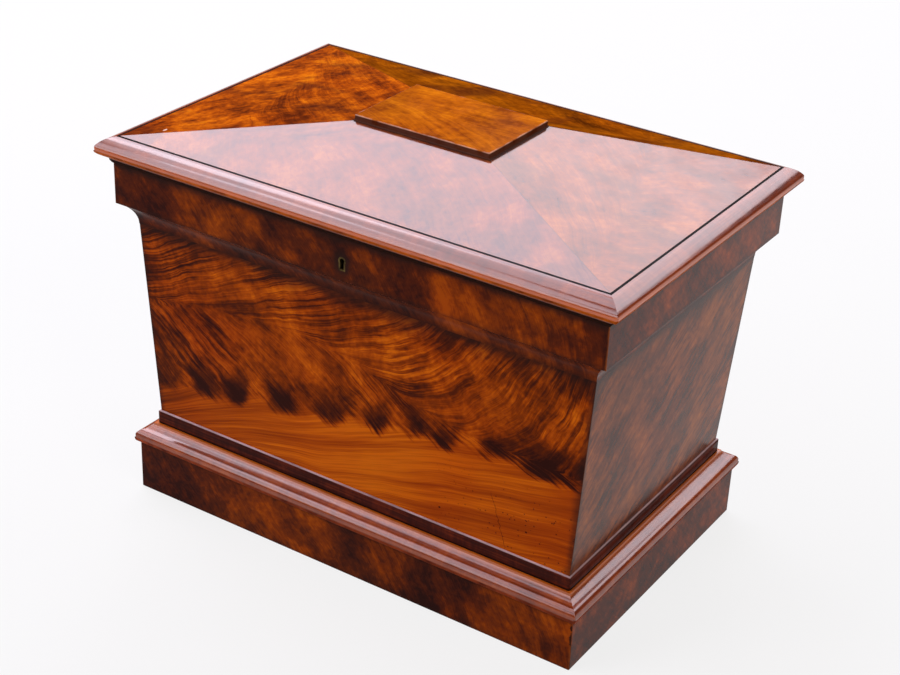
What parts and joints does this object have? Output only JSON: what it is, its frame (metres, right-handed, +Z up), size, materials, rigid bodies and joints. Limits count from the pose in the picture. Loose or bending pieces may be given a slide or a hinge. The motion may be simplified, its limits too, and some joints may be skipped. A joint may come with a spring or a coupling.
{
  "type": "cellarette",
  "caption": "Sarcophagus cellarette in flame mahogany: tapered lined case with bottle cells on a moulded plinth, hipped hinged lid with tablet, and a box lock.",
  "frame": {"origin": "on the floor under the middle of the case", "axes": "+X to the right along the front, seen from the front; -Y faces the front, where the keyhole is; +Z up"},
  "size_m": [0.74, 0.48, 0.555],
  "materials": {
    "lid_flame_mahogany": "French polished, crotch figure",
    "body_flame_mahogany": "French polished, crotch figure",
    "frieze_mahogany": "French polished",
    "lid_edge_mahogany": "French polished, cross-grained",
    "moulding_mahogany": "French polished",
    "plinth_mahogany": "French polished, mottled",
    "plain_mahogany": "waxed",
    "carcass_pine": "planed, unfinished",
    "ebony": "polished",
    "zinc": "rolled and soldered sheet, dulled",
    "cast_brass": "cast and filed, dulled",
    "turned_brass": "turned"
  },
  "bodies": {
    "case": {"back_board": "carcass_pine", "back_veneer": "body_flame_mahogany", "bottom_board": "carcass_pine", "cove_back": "moulding_mahogany", "cove_front": "moulding_mahogany", "cove_left": "moulding_mahogany", "cove_right": "moulding_mahogany", "dividers_cross": "plain_mahogany", "dividers_long": "plain_mahogany", "foot_moulding_back": "moulding_mahogany", "foot_moulding_front": "moulding_mahogany", "foot_moulding_left": "moulding_mahogany", "foot_moulding_right": "moulding_mahogany", "frieze_back": "frieze_mahogany", "frieze_front": "frieze_mahogany", "frieze_left": "frieze_mahogany", "frieze_right": "frieze_mahogany", "front_board": "carcass_pine", "front_veneer": "body_flame_mahogany", "hinge_leaf_case_left": "cast_brass", "hinge_leaf_case_right": "cast_brass", "hinge_pins": "turned_brass", "keyhole_escutcheon": "cast_brass", "left_board": "carcass_pine", "left_veneer": "body_flame_mahogany", "liner": "zinc", "lock_cap": "cast_brass", "lock_case": "cast_brass", "plinth_back": "plinth_mahogany", "plinth_cap_back": "moulding_mahogany", "plinth_cap_front": "moulding_mahogany", "plinth_cap_left": "moulding_mahogany", "plinth_cap_right": "moulding_mahogany", "plinth_corner_blocks": "carcass_pine", "plinth_front": "plinth_mahogany", "plinth_left": "plinth_mahogany", "plinth_right": "plinth_mahogany", "right_board": "carcass_pine", "right_veneer": "body_flame_mahogany", "rim_back": "plain_mahogany", "rim_front": "plain_mahogany", "rim_left": "plain_mahogany", "rim_right": "plain_mahogany"},
    "lid": {"hinge_leaf_lid_left": "cast_brass", "hinge_leaf_lid_right": "cast_brass", "lid_lining": "plain_mahogany", "lid_moulding_back": "lid_edge_mahogany", "lid_moulding_front": "lid_edge_mahogany", "lid_moulding_left": "lid_edge_mahogany", "lid_moulding_right": "lid_edge_mahogany", "lid_slope_back": "lid_flame_mahogany", "lid_slope_front": "lid_flame_mahogany", "lid_slope_left": "lid_flame_mahogany", "lid_slope_right": "lid_flame_mahogany", "lid_stringing": "ebony", "lock_link_plate": "cast_brass", "tablet": "lid_flame_mahogany"},
    "lock_bolt": {"lock_bolt": "turned_brass"}
  },
  "joints": [
    {"name": "lid_hinge", "type": "hinge", "parent": "case", "child": "lid", "pos_m": [0, 0.2277, 0.474], "axis": [-1, 0, 0], "range_deg": [0, 95]},
    {"name": "bolt_slide", "type": "slide", "parent": "case", "child": "lock_bolt", "axis": [1, 0, 0], "range_m": [0, 0.006]}
  ]
}
